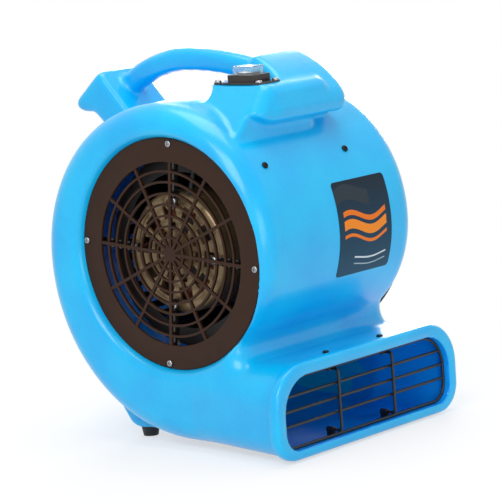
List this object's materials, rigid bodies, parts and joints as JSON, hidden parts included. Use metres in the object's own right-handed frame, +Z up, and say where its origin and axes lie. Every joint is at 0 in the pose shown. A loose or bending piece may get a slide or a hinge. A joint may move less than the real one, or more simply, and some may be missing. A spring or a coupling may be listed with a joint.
{
  "type": "centrifugal air mover",
  "caption": "Floor blower for drying carpets: snail-shaped moulded shell with side intake grilles, low wide outlet, carrying handle and covered rocker switch.",
  "frame": {"origin": "on the floor under the middle of the whole outline, at the underside of the rubber feet", "axes": "+Z up, the outlet faces -Y, the fan axis lies along X and the motor is on the -X side"},
  "size_m": [0.33, 0.39, 0.4435],
  "materials": {
    "shell": "semi-gloss rotomoulded polyethylene, sky blue",
    "grille": "moulded plastic, brown-black, satin",
    "chrome": "bright chrome-plated screws",
    "zinc": "zinc-plated steel",
    "guard_wire": "powder-coated steel wire, black",
    "wheel_black": "formed sheet steel, black enamel",
    "black_screw": "black-oxide steel",
    "black_plate": "thin sheet steel, black enamel",
    "switch_base": "brown-black moulded plastic",
    "switch_rocker": "dark moulded plastic",
    "clear_boot": "clear flexible vinyl cover",
    "galvanised": "galvanised sheet steel",
    "capacitor": "aluminium can",
    "motor_paint": "beige-gold baked enamel",
    "bronze": "sintered bronze",
    "lamination": "stacked silicon steel sheets",
    "copper": "varnished copper wire",
    "shaft_steel": "ground steel",
    "cast_aluminium": "die-cast aluminium",
    "lead_sheath": "black vinyl sheath",
    "foot_rubber": "black rubber",
    "black_plastic": "black nylon",
    "label": "printed film: dark blue over grey bands with orange marks"
  },
  "bodies": {
    "shell": {"housing": "shell", "intake_grille_left": "grille", "intake_grille_right": "grille", "grille_screws": "chrome", "grille_nuts": "zinc", "outlet_guard": "guard_wire", "guard_clips": "zinc", "nose_screws": "black_screw", "clip_screws": "zinc", "switch_plate": "black_plate", "plate_screws": "chrome", "switch_body": "switch_base", "switch_boot": "clear_boot", "wiring_cover": "galvanised", "cover_screws": "black_screw", "cover_nuts": "zinc", "capacitor": "capacitor", "capacitor_clip": "galvanised", "motor_end_bell_outer": "motor_paint", "motor_end_bell_inner": "motor_paint", "motor_can": "motor_paint", "motor_arms": "black_plate", "motor_bolts": "zinc", "motor_bushings": "bronze", "stator_core": "lamination", "stator_windings": "copper", "motor_lead": "lead_sheath", "lead_grommet": "foot_rubber", "cord_gland": "black_plastic", "gland_nut": "black_plastic", "front_feet": "foot_rubber", "rear_feet": "foot_rubber", "foot_screws": "zinc", "label_plate": "label"},
    "rotor": {"motor_shaft": "shaft_steel", "rotor_core": "lamination", "wheel_hub": "cast_aluminium", "wheel_disc": "wheel_black", "wheel_rivets": "cast_aluminium", "wheel_blades": "wheel_black", "wheel_rings": "wheel_black", "wheel_set_screw": "black_screw"},
    "rocker": {"switch_rocker": "switch_rocker"}
  },
  "joints": [
    {"name": "blower_spin", "type": "hinge", "parent": "shell", "child": "rotor", "pos_m": [0, -0.023, 0.2234], "axis": [1, 0, 0], "continuous": true},
    {"name": "rocker_tilt", "type": "hinge", "parent": "shell", "child": "rocker", "pos_m": [-0.047, -0.087, 0.4155], "axis": [1, 0, 0], "range_deg": [-9, 9]}
  ]
}
